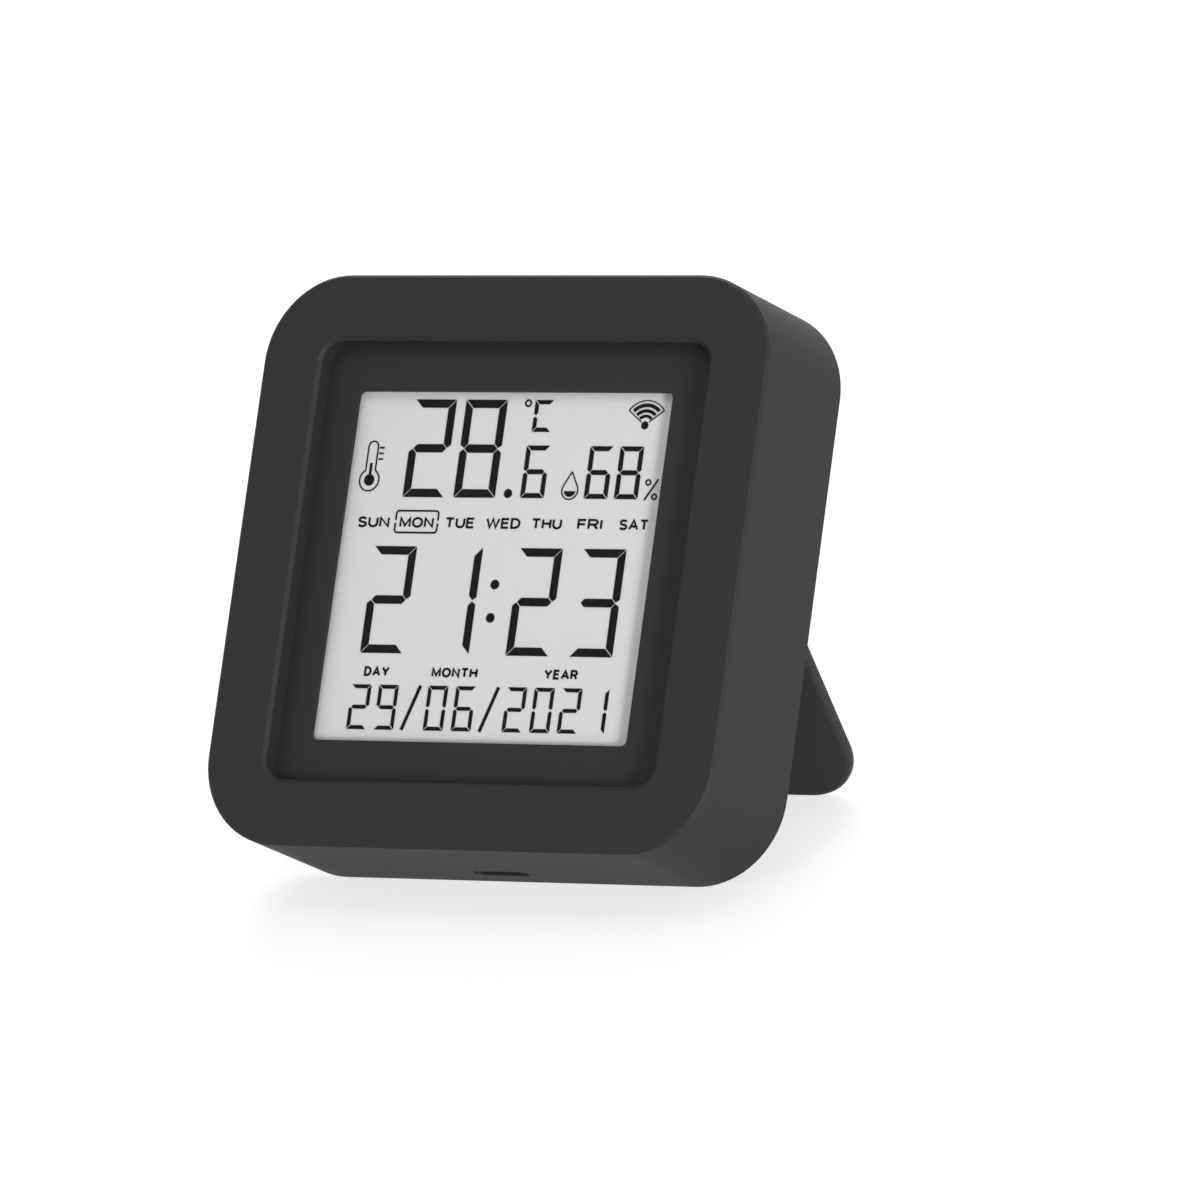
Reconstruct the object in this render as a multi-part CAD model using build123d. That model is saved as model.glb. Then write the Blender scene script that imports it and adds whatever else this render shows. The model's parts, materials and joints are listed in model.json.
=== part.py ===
from build123d import *
from math import asin, atan2, cos, degrees, hypot, radians, sin
import os

# Desk temperature and humidity sensor: a square casing that leans on a fold-out stand.
# Every piece is drawn on the upright casing and leaned back at the end.
# Upright axes: x to the right, y from the front face to the rear face, z up from the bottom face.
# All sizes are in millimetres.

# Casing
width = 65.0
height = 65.0
depth = 16.7
corner_radius = 10.0
edge_break = 0.3
wall = 1.4
front_wall = 2.4
front_ring = 7.5
opening_radius = 2.5
opening_edge_break = 0.4

# Display and the plate round it
side_band = 4.75
end_band = 5.1
view_radius = 0.7
view_shift_x = -0.6
view_shift_z = -0.1
bezel_overlap = 1.5
bezel_lip = 0.5
bezel_radius = 6.0
window_thickness = 0.5
window_margin = 1.5
window_gap = 0.1
polariser_thickness = 0.2
polariser_margin = 1.8
glass_thickness = 0.7
glass_margin = 2.4
contact_ledge = 2.6
strip_width = 1.8
holder_wall = 2.1
holder_radius = 4.0
holder_shelf = 1.0
holder_land = 1.0

# Boards and what is soldered to them
board_thickness = 1.2
board_gap = 0.9
board_radius = 7.0
usb_rear_room = 4.55
usb_width = 7.5
usb_thickness = 2.5
usb_length = 5.0
usb_sheet = 0.3
usb_radius = 0.8
usb_skin = 0.5
usb_tongue_width = 5.2
usb_tongue_thickness = 0.6
usb_tongue_recess = 0.8
usb_block_length = 1.4
module_width = 13.2
module_height = 16.6
module_board = 0.8
module_side_room = 8.0
module_z = 18.0
shield_width = 12.0
shield_height = 11.2
shield_thickness = 1.8
shield_sheet = 0.2
shield_radius = 0.4
driver_size = 10.0
driver_thickness = 1.2
driver_side_room = 12.5
driver_z = 18.0
driver_lead_count = 8
lead_width = 0.3
lead_reach = 1.0
lead_thickness = 0.2
power_chip_width = 4.9
power_chip_height = 3.9
power_chip_thickness = 1.4
power_chip_lead_count = 4
power_chip_spacing = 6.0
power_chip_z = 9.0
crystal_width = 5.0
crystal_height = 3.2
crystal_thickness = 1.1
crystal_lid_inset = 0.4
capacitor_length = 1.6
capacitor_width = 0.8
capacitor_spacing = 2.6
capacitor_count = 3
chip_room = 1.2

# Pairing button and its switch
button_side_room = 8.9
button_radius = 2.3
button_flange = 0.7
button_flange_thickness = 0.7
button_recess = 0.2
button_stem_radius = 1.2
button_travel = 0.25
button_clearance = 0.15
button_edge_break = 0.3
switch_size = 6.0
switch_thickness = 2.0
switch_corner = 0.6
plunger_radius = 1.6
plunger_height = 0.5
plunger_depth = 0.6

# Humidity sensor on its own small board
sensor_side_room = 8.5
sensor_top_room = 9.5
sensor_board_width = 8.0
sensor_board_height = 9.0
sensor_board_thickness = 0.8
sensor_header_height = 2.0
sensor_header_width = 2.2
sensor_pins = 4
sensor_pin_size = 0.5
sensor_pin_proud = 0.6
sensor_size = 2.5
sensor_thickness = 0.9
sensor_port_radius = 0.6
sensor_port_depth = 0.3

# Rechargeable cell
cell_left_room = 13.5
cell_right_room = 15.5
cell_top_room = 5.5
cell_hinge_room = 4.4
cell_thickness = 3.7
cell_edge_break = 0.8
cell_corner_radius = 2.0
cell_fold = 1.2
pad_thickness = 0.3
pad_inset = 3.0
tab_width = 3.0
tab_spacing = 9.0
tab_thickness = 0.15
tab_foot = 1.6

# Screws and the posts that take them
screw_radius = 0.8
screw_head_radius = 1.5
screw_head_height = 0.9
cover_screw_length = 6.0
board_screw_length = 5.0
thread_clearance = 0.05
head_clearance = 0.15
corner_post_radius = 2.6
corner_post_reach = 6.2
lower_post_radius = 1.8
lower_post_inset = 14.5
lower_post_z = 4.5
board_post_radius = 1.6
board_post_inset = 4.1
web_share = 0.8

# Rear cover
cover_thickness = 1.5
cover_gap = 0.1
cup_floor = 1.0
cup_wall = 0.8
vent_length = 9.0
vent_width = 1.0
vent_pitch = 1.9
vent_count = 5

# Stand and hinge
stand_angle = 55.0
stand_margin = 2.8
stand_thickness = 1.4
stand_inner_round = 0.7
stand_outer_break = 0.3
hinge_height = 31.1
hinge_inset = 1.6
barrel_radius = 1.5
pin_radius = 0.75
pin_inset = 4.5
ear_width = 6.0
ear_inset = 16.5
ear_side_clearance = 0.15
barrel_clearance = 0.25
heel_sweep_clearance = 0.2
stop_clearance = 0.05
stand_bore_clearance = 0.05
ear_bore_clearance = 0.03
pocket_clearance = 0.3
pocket_depth = 1.6
pocket_wall = 1.0
pocket_floor = 1.2
notch_width = 12.0
notch_height = 1.5
scoop_depth = 0.6
scoop_height = 4.0

# Clearances shared by the pieces inside
fit = 0.2
post_clearance = 0.3
overrun = 1.0

# Depths worked out from the front face
middle = height / 2
window_front = front_wall + bezel_lip
window_back = window_front + window_thickness
display_front = window_back + window_gap
front_glass_front = display_front + polariser_thickness
front_glass_back = front_glass_front + glass_thickness
rear_glass_back = front_glass_back + glass_thickness
display_back = rear_glass_back + polariser_thickness
usb_centre_depth = depth - usb_rear_room
board_back = usb_centre_depth - usb_thickness / 2
board_front = board_back - board_thickness
cover_front = depth - cover_thickness
hinge_depth = depth - hinge_inset
pocket_back = depth - pocket_depth
head_seat = pocket_back - cup_floor
post_end = head_seat - cup_floor

# Outline sizes worked out from what they sit in
inner_width = width - 2 * wall
inner_height = height - 2 * wall
inner_radius = corner_radius - wall
opening_width = width - 2 * front_ring
opening_height = height - 2 * front_ring
view_width = opening_width - 2 * side_band
view_height = opening_height - 2 * end_band
cover_width = inner_width - 2 * cover_gap
cover_height = inner_height - 2 * cover_gap
cover_radius = inner_radius - cover_gap
glass_width = view_width + 2 * glass_margin
glass_height = view_height + 2 * glass_margin + contact_ledge
rear_glass_height = glass_height - 2 * contact_ledge
stand_width = width - 2 * stand_margin
stand_corner = corner_radius - stand_margin
stand_reach = hinge_height - stand_margin
heel = hinge_inset
heel_sweep = hypot(heel, hinge_inset) + heel_sweep_clearance
stop_distance = heel + stop_clearance
corner_post = corner_post_reach * cos(radians(45))
corner_post_x = width / 2 - corner_radius + corner_post
corner_post_z = height - corner_radius + corner_post
lower_post_x = width / 2 - lower_post_inset
board_post_x = width / 2 - board_post_inset
ear_x = width / 2 - ear_inset
pin_length = width - 2 * pin_inset

# Places worked out from the walls and the hinge
view_x = view_shift_x
view_z = middle + view_shift_z
trough_top = hinge_height + heel_sweep + pocket_wall
module_x = width / 2 - module_side_room - module_width / 2
driver_x = driver_side_room + driver_size / 2 - width / 2
crystal_z = power_chip_z + power_chip_height / 2 + lead_reach + chip_room + crystal_height / 2
capacitor_z = crystal_z + crystal_height / 2 + chip_room + capacitor_length / 2
button_x = button_side_room - width / 2
sensor_x = width / 2 - sensor_side_room
sensor_z = (trough_top + height - sensor_top_room) / 2
button_z = sensor_z
cell_base_z = hinge_height + cell_hinge_room
cell_width = width - cell_left_room - cell_right_room
cell_height = height - cell_base_z - cell_top_room
cell_x = (cell_left_room - cell_right_room) / 2


def prism(outline, front, back):
    """Carry an outline drawn in x and z from one depth to another."""
    plane = Plane(origin=(0, back, 0), x_dir=(1, 0, 0), z_dir=(0, -1, 0))
    return extrude(plane * outline, amount=back - front)


def bar(profile, left, right):
    """Carry a profile drawn in y and z from one x to another."""
    return extrude(Plane.YZ.offset(left) * profile, amount=right - left)


def rise(outline, low, high):
    """Carry an outline drawn in x and y from one height to another."""
    return extrude(Plane.XY.offset(low) * outline, amount=high - low)


def rounded(x, z, wide, high, radius):
    return Pos(x, z) * RectangleRounded(wide, high, radius)


def disc(x, z, radius):
    return Pos(x, z) * Circle(radius)


def centred(wide, high, radius):
    """Rounded rectangle centred on the casing."""
    return rounded(0, middle, wide, high, radius)


def on_view(wide, high, radius):
    """Rounded rectangle centred on the display."""
    return rounded(view_x, view_z, wide, high, radius)


def join(shapes):
    """Fuse a list of shapes into one."""
    first, *rest = shapes
    return first.fuse(*rest) if rest else first


def row(count, spacing):
    """Evenly spaced places centred on zero."""
    return [(i - (count - 1) / 2) * spacing for i in range(count)]


def post_outline(x, z, radius, reach, angle):
    """A round post with a web that runs out to the nearest wall."""
    web = Pos(reach / 2, 0) * Rectangle(reach, 2 * radius * web_share)
    return disc(x, z, radius) + Pos(x, z) * Rot(Z=angle) * web


def cover_posts():
    """Places and outlines of the four posts that the rear cover is screwed to."""
    corner = corner_radius - wall / 2 - corner_post_reach
    drop = lower_post_z - wall / 2
    return [
        (corner_post_x, corner_post_z, corner_post_radius, corner, 45),
        (-corner_post_x, corner_post_z, corner_post_radius, corner, 135),
        (lower_post_x, lower_post_z, lower_post_radius, drop, -90),
        (-lower_post_x, lower_post_z, lower_post_radius, drop, -90),
    ]


def board_posts():
    """Places and outlines of the two posts that the main board is screwed to."""
    reach = width / 2 - wall / 2 - board_post_x
    return [
        (board_post_x, middle, board_post_radius, reach, 0),
        (-board_post_x, middle, board_post_radius, reach, 180),
    ]


def pilot(x, z, back, length):
    return prism(disc(x, z, screw_radius + thread_clearance), back - length, back + overrun)


def front_housing():
    body = prism(centred(width, height, corner_radius), 0, depth)
    faces = body.edges().group_by(Axis.Y)
    body = chamfer(faces[0] + faces[-1], edge_break)
    body -= prism(centred(inner_width, inner_height, inner_radius), front_wall, depth + overrun)
    for place in cover_posts():
        post = prism(post_outline(*place), front_wall, post_end)
        body += post - pilot(place[0], place[1], post_end, cover_screw_length)
    for place in board_posts():
        post = prism(post_outline(*place), front_wall, board_front)
        body += post - pilot(place[0], place[1], board_front, board_screw_length)
    body -= prism(centred(opening_width, opening_height, opening_radius), -overrun, front_wall)
    body = soften_opening(body)
    seat = Pos(0, usb_centre_depth) * RectangleRounded(
        usb_width + 2 * fit, usb_thickness + 2 * fit, usb_radius + fit)
    mouth = Pos(0, usb_centre_depth) * RectangleRounded(
        usb_width - 2 * usb_sheet, usb_thickness - 2 * usb_sheet, usb_radius)
    body -= rise(seat, usb_skin, wall + overrun)
    body -= rise(mouth, -overrun, wall)
    return body


def soften_opening(body):
    """Break the front edge of the opening."""
    rim = [
        edge
        for edge in body.edges().group_by(Axis.Y)[0]
        if abs(edge.center().X) <= opening_width / 2 + edge_break
        and abs(edge.center().Z - middle) <= opening_height / 2 + edge_break
    ]
    return chamfer(rim, opening_edge_break)


def display_bezel():
    wide = opening_width + 2 * bezel_overlap
    high = opening_height + 2 * bezel_overlap
    plate = prism(centred(wide, high, bezel_radius), front_wall, display_front)
    plate -= prism(on_view(view_width, view_height, view_radius), 0, depth)
    rebate = on_view(view_width + 2 * window_margin, view_height + 2 * window_margin, view_radius)
    plate -= prism(rebate, window_front, depth)
    for x, z, radius, *_ in cover_posts() + board_posts():
        plate -= prism(disc(x, z, radius + post_clearance), 0, depth)
    return plate


def display_window():
    margin = 2 * (window_margin - fit)
    outline = on_view(view_width + margin, view_height + margin, view_radius)
    return prism(outline, window_front, window_back)


def display_sheet(front, back, wide, high):
    """One flat layer of the display."""
    return prism(Pos(view_x, view_z) * Rectangle(wide, high), front, back)


def lcd_front_polariser():
    margin = 2 * polariser_margin
    return display_sheet(display_front, front_glass_front, view_width + margin, view_height + margin)


def lcd_front_glass():
    return display_sheet(front_glass_front, front_glass_back, glass_width, glass_height)


def lcd_rear_glass():
    return display_sheet(front_glass_back, rear_glass_back, glass_width, rear_glass_height)


def lcd_reflector():
    return display_sheet(rear_glass_back, display_back, glass_width, rear_glass_height)


def strip_outlines(extra):
    """The two contact strips, one over each ledge of the front glass."""
    offset = (glass_height - contact_ledge) / 2
    return [
        Pos(view_x, view_z + side * offset) * Rectangle(view_width + extra, strip_width + extra)
        for side in (-1, 1)
    ]


def contact_strips():
    return Compound([prism(line, front_glass_back, board_front) for line in strip_outlines(0)])


def lcd_holder():
    wide = glass_width + 2 * holder_wall
    high = glass_height + 2 * holder_wall
    frame = prism(on_view(wide, high, holder_radius), display_front, board_front)
    seat = Pos(view_x, view_z)
    frame -= prism(seat * Rectangle(glass_width + fit, glass_height + fit), 0, front_glass_back)
    frame -= prism(seat * Rectangle(glass_width + fit, rear_glass_height + fit), 0, display_back)
    for line in strip_outlines(fit):
        frame -= prism(line, 0, depth)
    inset = 2 * holder_land + 2 * contact_ledge
    hollow = seat * Rectangle(glass_width - 2 * holder_land, glass_height - inset)
    frame -= prism(hollow, display_back + holder_shelf, depth)
    return frame


def main_board():
    wide = inner_width - 2 * board_gap
    high = inner_height - 2 * board_gap
    board = prism(centred(wide, high, board_radius), board_front, board_back)
    for x, z, radius, *_ in cover_posts():
        edge = post_outline(x, z, radius + post_clearance, corner_radius, edge_angle(x, z))
        board -= prism(edge, 0, depth)
    for x, z, *_ in board_posts():
        board -= prism(disc(x, z, screw_radius + head_clearance), 0, depth)
    return board


def edge_angle(x, z):
    """Direction from a cover post to the edge of the casing beside it."""
    return next(place[4] for place in cover_posts() if place[0] == x and place[1] == z)


def screw(x, z, seat, length):
    """Pan-head screw that goes in from behind, its head seated at a depth."""
    head = prism(disc(x, z, screw_head_radius), seat, seat + screw_head_height)
    return head + prism(disc(x, z, screw_radius), seat - length + thread_clearance, seat)


def cover_screws():
    places = cover_posts()
    length = cover_screw_length
    return Compound([screw(place[0], place[1], head_seat, length) for place in places])


def board_screws():
    places = board_posts()
    length = board_screw_length
    return Compound([screw(place[0], place[1], board_back, length) for place in places])


def usb_outline(inset):
    outer = RectangleRounded(usb_width - 2 * inset, usb_thickness - 2 * inset, usb_radius - inset)
    return Pos(0, usb_centre_depth) * outer


def usb_shell():
    top = usb_skin + usb_length
    shell = rise(usb_outline(0), usb_skin, top)
    return shell - rise(usb_outline(usb_sheet), usb_skin - overrun, top - usb_sheet)


def usb_tongue():
    top = usb_skin + usb_length - usb_sheet
    block = rise(usb_outline(usb_sheet), top - usb_block_length, top)
    blade = Pos(0, usb_centre_depth) * Rectangle(usb_tongue_width, usb_tongue_thickness)
    return block + rise(blade, usb_skin + usb_tongue_recess, top)


def shield_outline(inset):
    low = module_z - module_height / 2 + (module_width - shield_width) / 2
    wide = shield_width - 2 * inset
    high = shield_height - 2 * inset
    return rounded(module_x, low + shield_height / 2, wide, high, shield_radius)


def wifi_board():
    outline = Pos(module_x, module_z) * Rectangle(module_width, module_height)
    return prism(outline, board_back, board_back + module_board)


def wifi_shield():
    front = board_back + module_board
    can = prism(shield_outline(0), front, front + shield_thickness)
    return can - prism(shield_outline(shield_sheet), front, front + shield_thickness - shield_sheet)


def lead(x, z, angle):
    """Flat lead that runs out from a chip body at a place and angle."""
    foot = Pos(x, z) * Rot(Z=angle) * Rectangle(2 * lead_reach, lead_width)
    return prism(foot, board_back, board_back + lead_thickness)


def chip(x, z, wide, high, thick, count, sides):
    """Moulded chip with its leads, standing on the back of the main board."""
    body = prism(Pos(x, z) * Rectangle(wide, high), board_back, board_back + thick)
    leads = []
    for side in sides:
        ends = side % 180 == 0
        reach = (wide if ends else high) / 2
        for step in row(count, (high if ends else wide) / (count + 1)):
            spot = Pos(x, z) * Rot(Z=side) * Pos(reach, step)
            leads.append(lead(spot.position.X, spot.position.Y, side))
    return body.fuse(*leads)


def display_driver():
    sides = (0, 90, 180, 270)
    return chip(driver_x, driver_z, driver_size, driver_size, driver_thickness, driver_lead_count, sides)


def power_chips():
    chips = [
        chip(x, power_chip_z, power_chip_width, power_chip_height, power_chip_thickness,
             power_chip_lead_count, (90, 270))
        for x in row(2, power_chip_spacing)
    ]
    return Compound(chips)


def crystal():
    x, z = 0, crystal_z
    base_top = board_back + crystal_thickness / 2
    base = prism(Pos(x, z) * Rectangle(crystal_width, crystal_height), board_back, base_top)
    inset = 2 * crystal_lid_inset
    lid = rounded(x, z, crystal_width - inset, crystal_height - inset, crystal_lid_inset)
    return base + prism(lid, base_top, board_back + crystal_thickness)


def board_capacitors():
    parts = []
    for x in row(capacitor_count, capacitor_spacing):
        outline = Pos(x, capacitor_z) * Rectangle(capacitor_width, capacitor_length)
        parts.append(prism(outline, board_back, board_back + capacitor_width))
    return Compound(parts)


def switch_body():
    top = board_back + switch_thickness
    body = prism(rounded(button_x, button_z, switch_size, switch_size, switch_corner), board_back, top)
    well = disc(button_x, button_z, plunger_radius + thread_clearance)
    return body - prism(well, top - plunger_depth - button_travel, depth)


def switch_plunger():
    top = board_back + switch_thickness
    return prism(disc(button_x, button_z, plunger_radius), top - plunger_depth, top + plunger_height)


def pairing_button():
    foot = board_back + switch_thickness + plunger_height
    back = depth - button_recess
    flange_back = cover_front - 2 * button_clearance
    cap = prism(disc(button_x, button_z, button_radius), flange_back, back)
    cap = chamfer(cap.edges().group_by(Axis.Y)[-1], button_edge_break)
    cap += prism(disc(button_x, button_z, button_radius + button_flange),
                 flange_back - button_flange_thickness, flange_back)
    return cap + prism(disc(button_x, button_z, button_stem_radius), foot, flange_back)


def sensor_header():
    z = sensor_z - sensor_board_height / 2 + sensor_header_width
    top = board_back + sensor_header_height
    block = Pos(sensor_x, z) * Rectangle(sensor_board_width, sensor_header_width)
    header = prism(block, board_back, top)
    for x in row(sensor_pins, sensor_board_width / sensor_pins):
        pin = Pos(sensor_x + x, z) * Rectangle(sensor_pin_size, sensor_pin_size)
        header += prism(pin, top, top + sensor_board_thickness + sensor_pin_proud)
    return header


def sensor_board():
    z = sensor_z - sensor_board_height / 2 + sensor_header_width
    front = board_back + sensor_header_height
    outline = Pos(sensor_x, sensor_z) * Rectangle(sensor_board_width, sensor_board_height)
    board = prism(outline, front, front + sensor_board_thickness)
    for x in row(sensor_pins, sensor_board_width / sensor_pins):
        hole = Pos(sensor_x + x, z) * Rectangle(sensor_pin_size + fit, sensor_pin_size + fit)
        board -= prism(hole, 0, depth)
    return board


def humidity_sensor():
    z = sensor_z + sensor_header_width
    front = board_back + sensor_header_height + sensor_board_thickness
    back = front + sensor_thickness
    body = prism(Pos(sensor_x, z) * Rectangle(sensor_size, sensor_size), front, back)
    return body - prism(disc(sensor_x, z, sensor_port_radius), back - sensor_port_depth, depth)


def cell_z():
    return cell_base_z + cell_height / 2


def battery_pad():
    wide = cell_width - 2 * pad_inset
    high = cell_height - 2 * pad_inset
    return prism(Pos(cell_x, cell_z()) * Rectangle(wide, high), board_back, board_back + pad_thickness)


def battery_cell():
    front = board_back + pad_thickness
    outline = rounded(cell_x, cell_z(), cell_width, cell_height - cell_fold, cell_corner_radius)
    cell = prism(outline, front, front + cell_thickness)
    ends = cell.edges().group_by(Axis.Y)
    cell = chamfer(ends[0] + ends[-1], cell_edge_break)
    seam = Pos(cell_x, cell_base_z + cell_height / 2) * Rectangle(cell_width - 2 * cell_corner_radius, cell_height)
    return cell + prism(seam, front + cell_thickness / 2 - tab_thickness, front + cell_thickness / 2 + tab_thickness)


def battery_tabs():
    """Metal strips from the cell's seam down to the main board."""
    seam = board_back + pad_thickness + cell_thickness / 2 + tab_thickness
    low = cell_base_z - tab_foot
    points = [
        (seam, cell_base_z + cell_fold / 2),
        (seam + tab_thickness, cell_base_z + cell_fold / 2),
        (seam + tab_thickness, cell_base_z - tab_thickness),
        (board_back + tab_thickness, cell_base_z - tab_thickness),
        (board_back + tab_thickness, low),
        (board_back, low),
        (board_back, cell_base_z),
        (seam, cell_base_z),
    ]
    profile = make_face(Polyline(*points, close=True))
    strips = [
        bar(profile, cell_x + x - tab_width / 2, cell_x + x + tab_width / 2)
        for x in row(2, tab_spacing)
    ]
    return Compound(strips)


def at_hinge(profile):
    """Move a profile drawn in y and z round the hinge axis to the hinge."""
    return Pos(hinge_depth, hinge_height) * profile


def pocket_outline():
    """Outline of the stand's pocket, open upwards to the hinge trough's roof."""
    low = stand_margin - pocket_clearance
    high = hinge_height + heel_sweep
    wide = stand_width + 2 * pocket_clearance
    return foot_outline(wide, low, high, stand_corner + pocket_clearance)


def foot_outline(wide, low, high, radius):
    """Rectangle with its two lower corners rounded."""
    outline = Pos(0, (low + high) / 2) * Rectangle(wide, high - low)
    return fillet(outline.vertices().group_by(Axis.Y)[0], radius)


def trough_profile():
    """Room for the barrel, its heel and the stop face that the heel meets when open."""
    turn = radians(stand_angle)
    along = (heel_sweep - stop_distance * cos(turn)) / sin(turn)
    foot = (-stop_distance * sin(turn), stop_distance * cos(turn))
    top = (foot[0] + along * cos(turn), heel_sweep)
    points = [(0, 0), (hinge_inset + overrun, 0), (hinge_inset + overrun, heel_sweep), top, foot]
    return at_hinge(make_face(Polyline(*points, close=True)) + Circle(barrel_radius + barrel_clearance))


def trough_shell_profile():
    outer = barrel_radius + barrel_clearance + pocket_wall
    high = heel_sweep + pocket_wall
    box = Pos(0, (high - outer) / 2) * Rectangle(2 * outer, high + outer)
    return at_hinge(fillet(box.vertices(), pocket_wall))


def ear_places():
    return (-ear_x, ear_x)


def rear_cover():
    outline = centred(cover_width, cover_height, cover_radius)
    block = prism(outline, 0, depth)
    cover = prism(outline, cover_front, depth)
    tray_top = hinge_height
    tray = foot_outline(cover_width, (height - cover_height) / 2, tray_top, cover_radius)
    cover += prism(tray, pocket_back - pocket_floor, depth)
    cover += bar(trough_shell_profile(), -cover_width / 2, cover_width / 2)
    for x, z, *_ in cover_posts():
        cup = disc(x, z, screw_head_radius + head_clearance + cup_wall)
        cover += prism(cup, post_end, depth)
    cover &= block
    half = stand_width / 2 + pocket_clearance
    cover -= prism(pocket_outline(), pocket_back, depth + overrun)
    cover -= bar(trough_profile(), -half, half)
    cover += hinge_ears()
    for x, z, *_ in cover_posts():
        cover -= prism(disc(x, z, screw_head_radius + head_clearance), head_seat, depth + overrun)
        cover -= prism(disc(x, z, screw_radius + head_clearance), 0, depth)
    for rise_z in row(vent_count, vent_pitch):
        cover -= prism(Pos(sensor_x, sensor_z + rise_z) * SlotOverall(vent_length, vent_width), 0, depth + overrun)
    cover -= prism(disc(button_x, button_z, button_radius + button_clearance), 0, depth + overrun)
    return cover - finger_scoop()


def hinge_ears():
    """Fixed ears that carry the pin, standing on the trough's floor."""
    reach = barrel_radius + barrel_clearance + pocket_wall / 2
    web = Pos(-reach / 2, 0) * Rectangle(reach, 2 * barrel_radius)
    profile = at_hinge(Circle(barrel_radius) + web - Circle(pin_radius + ear_bore_clearance))
    return join([bar(profile, x - ear_width / 2, x + ear_width / 2) for x in ear_places()])


def finger_scoop():
    """Shallow hollow under the notch in the stand's foot."""
    low = stand_margin
    outline = Pos(0, low + scoop_height / 2) * RectangleRounded(notch_width, scoop_height, scoop_height / 3)
    return prism(outline, pocket_back - scoop_depth, depth)


def hinge_pin():
    return bar(at_hinge(Circle(pin_radius)), -pin_length / 2, pin_length / 2)


def kickstand():
    """Stand panel with its barrel, drawn folded and then opened."""
    outline = foot_outline(stand_width, stand_margin, hinge_height, stand_corner)
    back = depth
    panel = prism(outline, back - stand_thickness, back)
    panel = fillet(below_hinge(panel.edges().group_by(Axis.Y)[0]), stand_inner_round)
    panel = chamfer(below_hinge(panel.edges().group_by(Axis.Y)[-1]), stand_outer_break)
    heel_box = Pos(hinge_inset / 2, heel / 2) * Rectangle(hinge_inset, heel)
    barrel = at_hinge(Circle(barrel_radius) + heel_box)
    panel += bar(barrel, -stand_width / 2, stand_width / 2)
    for x in ear_places():
        half = ear_width / 2 + ear_side_clearance
        gap = Pos(0, (heel_sweep - barrel_radius - barrel_clearance) / 2) * Rectangle(
            2 * hinge_inset + 2 * overrun, heel_sweep + barrel_radius + barrel_clearance)
        panel -= bar(at_hinge(gap), x - half, x + half)
    bore = at_hinge(Circle(pin_radius + stand_bore_clearance))
    panel -= bar(bore, -pin_length / 2 - ear_side_clearance, pin_length / 2 + ear_side_clearance)
    panel -= foot_notch()
    return panel.rotate(Axis((0, hinge_depth, hinge_height), (1, 0, 0)), stand_angle)


def below_hinge(edges):
    """The edges that run round the panel's sides and foot."""
    return [edge for edge in edges if edge.center().Z < hinge_height - barrel_radius]


def foot_notch():
    """Arc cut from the middle of the stand's foot for a fingertip."""
    radius = (notch_width ** 2 / 4 + notch_height ** 2) / (2 * notch_height)
    return prism(disc(0, stand_margin + notch_height - radius, radius), 0, depth + overrun)


def lean_angle():
    """Angle that the casing leans back by when its broken rear edge and the stand's foot are down."""
    turn = radians(stand_angle)
    inner_face = hinge_inset - stand_thickness + stand_inner_round
    foot = -stand_reach + stand_inner_round
    foot_y = hinge_depth + inner_face * cos(turn) - foot * sin(turn)
    foot_z = hinge_height + inner_face * sin(turn) + foot * cos(turn)
    run = foot_y - (depth - edge_break)
    return atan2(foot_z, run) - asin(stand_inner_round / hypot(run, foot_z))


pieces = {
    "front_housing": front_housing(),
    "display_bezel": display_bezel(),
    "display_window": display_window(),
    "lcd_front_polariser": lcd_front_polariser(),
    "lcd_front_glass": lcd_front_glass(),
    "lcd_rear_glass": lcd_rear_glass(),
    "lcd_reflector": lcd_reflector(),
    "contact_strips": contact_strips(),
    "lcd_holder": lcd_holder(),
    "main_board": main_board(),
    "display_driver": display_driver(),
    "power_chips": power_chips(),
    "crystal": crystal(),
    "board_capacitors": board_capacitors(),
    "wifi_board": wifi_board(),
    "wifi_shield": wifi_shield(),
    "usb_shell": usb_shell(),
    "usb_tongue": usb_tongue(),
    "switch_body": switch_body(),
    "switch_plunger": switch_plunger(),
    "pairing_button": pairing_button(),
    "sensor_header": sensor_header(),
    "sensor_board": sensor_board(),
    "humidity_sensor": humidity_sensor(),
    "battery_pad": battery_pad(),
    "battery_cell": battery_cell(),
    "battery_tabs": battery_tabs(),
    "board_screws": board_screws(),
    "cover_screws": cover_screws(),
    "rear_cover": rear_cover(),
    "hinge_pin": hinge_pin(),
    "kickstand": kickstand(),
}

lean = lean_angle()
leaned = {name: Rot(X=-degrees(lean)) * piece for name, piece in pieces.items()}
boxes = [leaned[name].bounding_box() for name in ("front_housing", "kickstand")]
low_y = min(box.min.Y for box in boxes)
high_y = max(box.max.Y for box in boxes)
low_z = min(box.min.Z for box in boxes)
place = Pos(0, -(low_y + high_y) / 2, -low_z)

os.makedirs("parts", exist_ok=True)
for name, piece in leaned.items():
    export_step(place * piece, f"parts/{name}.step")


def in_frame(y, z):
    """Where a point of the upright casing lies once it leans."""
    point = Vector(0, y * cos(lean) + z * sin(lean), z * cos(lean) - y * sin(lean))
    return point + place.position


print("lean", round(degrees(lean), 3))
print("depth when leaning", high_y - low_y)
print("lowest of casing and stand", [box.min.Z - low_z for box in boxes])
print("hinge", in_frame(hinge_depth, hinge_height))
print("button axis", (0, cos(lean), -sin(lean)))
print("bottom face", in_frame(depth / 2, 0))
print("rear face", in_frame(depth, height - corner_radius))
print("usb mouth", in_frame(usb_centre_depth, 0))
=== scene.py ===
import json
import math

import bmesh
import bpy
from mathutils import Matrix, Vector


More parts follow.
